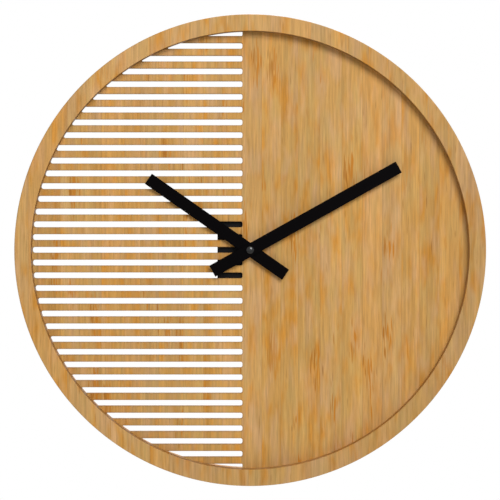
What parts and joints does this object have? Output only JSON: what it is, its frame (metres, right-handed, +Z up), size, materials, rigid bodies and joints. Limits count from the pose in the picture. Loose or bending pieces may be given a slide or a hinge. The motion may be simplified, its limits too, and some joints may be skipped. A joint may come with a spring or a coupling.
{
  "type": "wall clock",
  "caption": "Round bamboo wall clock: a dial panel slotted on its left half, flat black hands, a deep plain rim, and a quartz movement with its gear train, motor and battery.",
  "frame": {"origin": "where the nail meets the middle tooth of the hanger, in the plane of the wall", "axes": "+Z up, +X to the right of a person who faces the clock, -Y out of the wall towards that person, +Y into the wall"},
  "size_m": [0.4, 0.036, 0.4],
  "materials": {
    "bamboo": "oiled",
    "black_satin": "satin black paint",
    "black_plastic": "fine moulded texture",
    "brass": "turned",
    "plated_steel": "bright plated",
    "rubber": "matte",
    "white_nylon": "moulded",
    "magnet_ferrite": "satin",
    "soft_iron": "stamped",
    "copper_wire": "enamelled wire",
    "laminate": "satin",
    "epoxy": "gloss",
    "battery_sleeve": "satin sleeve"
  },
  "bodies": {
    "clock": {"rim": "bamboo", "dial_panel": "bamboo", "hanger_plate": "plated_steel", "hanger_screw_left": "plated_steel", "hanger_screw_right": "plated_steel", "movement_case": "black_plastic", "case_back": "black_plastic", "threaded_bush": "brass", "fixing_washer": "brass", "hex_nut": "brass", "rubber_washer": "rubber", "middle_plate": "white_nylon", "train_bridge": "white_nylon", "coil_bobbin": "white_nylon", "stator": "soft_iron", "coil_core": "soft_iron", "coil_winding": "copper_wire", "circuit_board": "laminate", "control_chip": "epoxy", "quartz_crystal": "plated_steel", "positive_contact": "plated_steel", "negative_contact": "plated_steel", "negative_spring": "plated_steel", "negative_lead": "plated_steel"},
    "minute_work": {"minute_arbor": "brass", "minute_hand": "black_satin", "cap_nut": "black_satin"},
    "hour_work": {"hour_wheel": "white_nylon", "hour_hand": "black_satin"},
    "setting_work": {"setting_wheel": "white_nylon", "setting_knob": "black_plastic"},
    "centre": {"centre_wheel": "white_nylon"},
    "third": {"third_wheel": "white_nylon"},
    "seconds": {"seconds_wheel": "white_nylon"},
    "intermediate": {"intermediate_wheel": "white_nylon"},
    "rotor": {"rotor_pinion": "white_nylon", "rotor_magnet": "magnet_ferrite"},
    "battery": {"battery_cell": "battery_sleeve"}
  },
  "joints": [
    {"name": "minute_spin", "type": "hinge", "parent": "clock", "child": "minute_work", "pos_m": [0, -0.015, -0.1905], "axis": [0, 1, 0], "continuous": true},
    {"name": "hour_spin", "type": "hinge", "parent": "clock", "child": "hour_work", "pos_m": [0, -0.015, -0.1905], "axis": [0, 1, 0], "continuous": true},
    {"name": "setting_spin", "type": "hinge", "parent": "clock", "child": "setting_work", "pos_m": [0.0106, -0.015, -0.1905], "axis": [0, 1, 0], "continuous": true},
    {"name": "intermediate_spin", "type": "hinge", "parent": "clock", "child": "intermediate", "pos_m": [-0.00789, -0.015, -0.19337], "axis": [0, 1, 0], "continuous": true},
    {"name": "rotor_spin", "type": "hinge", "parent": "clock", "child": "rotor", "pos_m": [-0.01149, -0.015, -0.18714], "axis": [0, 1, 0], "continuous": true},
    {"name": "seconds_spin", "type": "hinge", "parent": "clock", "child": "seconds", "pos_m": [0, -0.015, -0.1905], "axis": [0, 1, 0], "continuous": true},
    {"name": "third_spin", "type": "hinge", "parent": "clock", "child": "third", "pos_m": [-0.00349, -0.015, -0.18092], "axis": [0, 1, 0], "continuous": true},
    {"name": "centre_spin", "type": "hinge", "parent": "clock", "child": "centre", "pos_m": [0, -0.015, -0.1905], "axis": [0, 1, 0], "continuous": true},
    {"name": "battery_pull", "type": "slide", "parent": "clock", "child": "battery", "axis": [0, 1, 0], "range_m": [0, 0.04]}
  ],
  "couplings": [
    {"joint": "hour_spin", "follows": "minute_spin", "ratio": 0.083333},
    {"joint": "setting_spin", "follows": "minute_spin", "ratio": -0.33333},
    {"joint": "rotor_spin", "follows": "intermediate_spin", "ratio": -5},
    {"joint": "seconds_spin", "follows": "intermediate_spin", "ratio": -0.16667},
    {"joint": "third_spin", "follows": "intermediate_spin", "ratio": 0.022222},
    {"joint": "centre_spin", "follows": "intermediate_spin", "ratio": -0.0027778}
  ]
}
